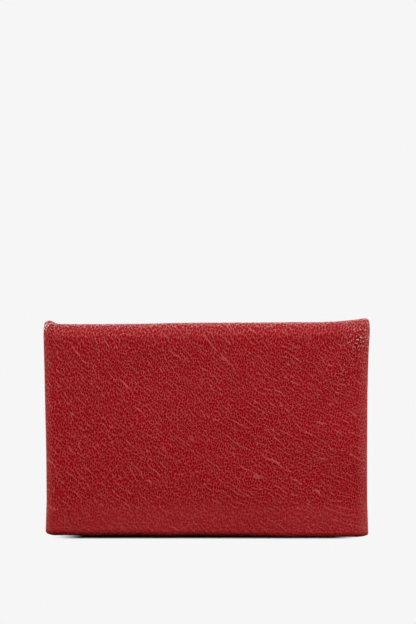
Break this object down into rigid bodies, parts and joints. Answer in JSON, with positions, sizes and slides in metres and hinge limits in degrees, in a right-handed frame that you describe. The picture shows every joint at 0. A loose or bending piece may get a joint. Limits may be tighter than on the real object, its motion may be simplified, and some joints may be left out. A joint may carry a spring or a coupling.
{
  "type": "bifold card holder",
  "caption": "Slim folded leather card holder with a plain back, a rounded top fold, inner card slots and a ring-spring snap near the free edge.",
  "frame": {"origin": "centre of the bounding box's bottom: the object stands closed on its free edges at Z = 0, the fold at the top", "axes": "+X across the width, to the right when the plain back is looked at; +Y through the depth, from the plain back to the snap side; +Z from the free edge up to the fold"},
  "size_m": [0.105, 0.011, 0.07],
  "materials": {
    "outer_leather": "fine pebbled goat grain, semi-matt",
    "lining_leather": "smooth goat leather, matt",
    "stiffener_board": "plain bookbinder's board",
    "snap_plated": "polished plated brass",
    "snap_steel": "spring steel"
  },
  "bodies": {
    "back_half": {"back_cover": "outer_leather", "back_bottom_edge": "outer_leather", "back_stiffener": "stiffener_board", "back_lining": "lining_leather", "back_pocket": "outer_leather", "back_margin_left": "lining_leather", "back_margin_right": "lining_leather", "back_shoulder": "outer_leather", "back_shoulder_lining": "lining_leather", "snap_stud": "snap_plated", "snap_stud_rivet": "snap_plated", "snap_stud_washer": "snap_steel"},
    "fold": {"fold_leather": "outer_leather", "fold_lining": "lining_leather"},
    "front_half": {"front_cover": "outer_leather", "front_bottom_edge": "outer_leather", "front_stiffener": "stiffener_board", "front_lining": "lining_leather", "front_pocket": "outer_leather", "front_margin_left": "lining_leather", "front_margin_right": "lining_leather", "front_shoulder": "outer_leather", "front_shoulder_lining": "lining_leather", "snap_cap": "snap_plated", "snap_spacer": "lining_leather", "snap_socket": "snap_plated", "snap_ring_spring": "snap_steel"}
  },
  "joints": [
    {"name": "back_fold_hinge", "type": "hinge", "parent": "back_half", "child": "fold", "pos_m": [0, -0.00412, 0.06857], "axis": [1, 0, 0], "range_deg": [0, 90]},
    {"name": "front_fold_hinge", "type": "hinge", "parent": "fold", "child": "front_half", "pos_m": [0, 0.00302, 0.06857], "axis": [1, 0, 0], "range_deg": [0, 90], "deforming": ["snap_ring_spring"]}
  ],
  "couplings": [
    {"joint": "front_fold_hinge", "follows": "back_fold_hinge", "ratio": 1}
  ]
}
